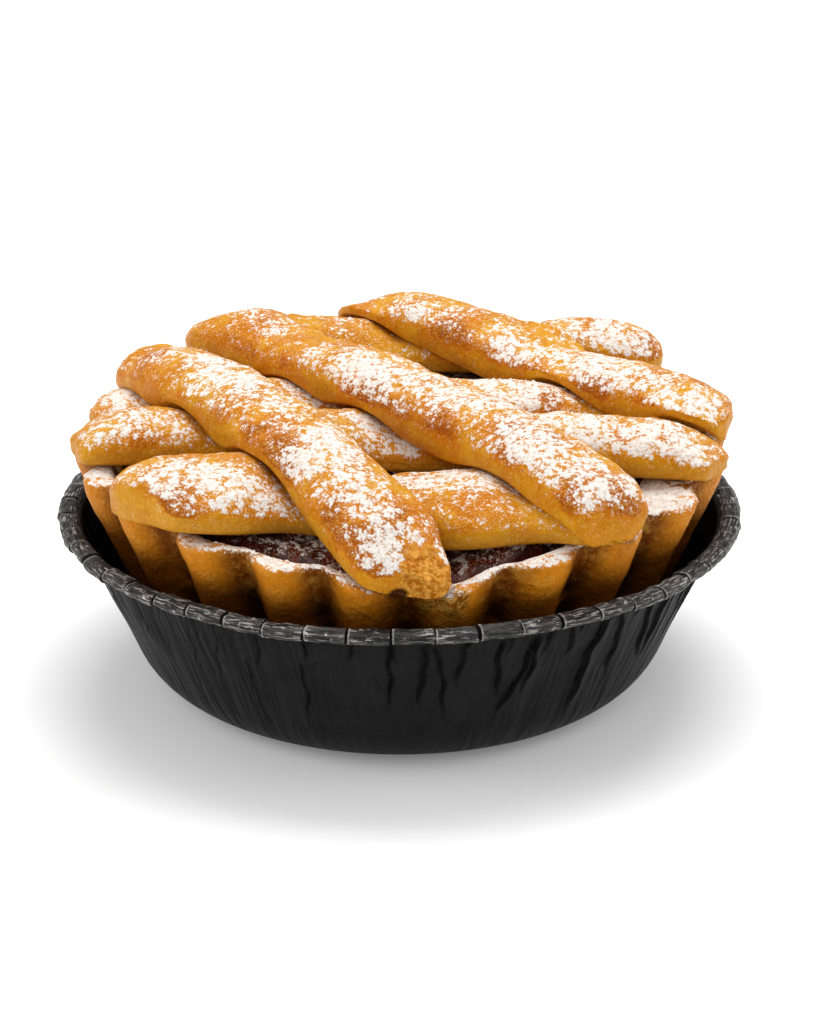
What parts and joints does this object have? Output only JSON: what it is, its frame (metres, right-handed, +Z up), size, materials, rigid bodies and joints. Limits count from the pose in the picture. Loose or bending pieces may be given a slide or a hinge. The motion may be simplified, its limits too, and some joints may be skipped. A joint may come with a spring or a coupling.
{
  "type": "lattice fruit tart",
  "caption": "Small round tart with a fluted crust, dark fruit filling and a woven pastry lattice under icing sugar, in a pleated black paper baking case.",
  "frame": {"origin": "centre of the baking case's flat underside, on the surface that the tart stands on", "axes": "+Z up along the case's axis, -Y towards the front of the tart, where the first upper strip ends, +X to its right"},
  "size_m": [0.1186, 0.1186, 0.056],
  "materials": {
    "paper": "black lacquered baking paper, pressed into pleats, semi-gloss",
    "crust": "baked golden brown shortcrust, matt, sugared along the rim",
    "strip": "baked golden dough, browned on top, dusted with icing sugar",
    "fruit": "dark red-brown cooked fruit, glossy and sticky"
  },
  "bodies": {
    "root": {"baking_case": "paper", "tart_shell": "crust", "filling": "fruit", "lower_strip_1": "strip", "lower_strip_2": "strip", "lower_strip_3": "strip", "lower_strip_4": "strip", "upper_strip_1": "strip", "upper_strip_2": "strip", "upper_strip_3": "strip"}
  },
  "joints": []
}
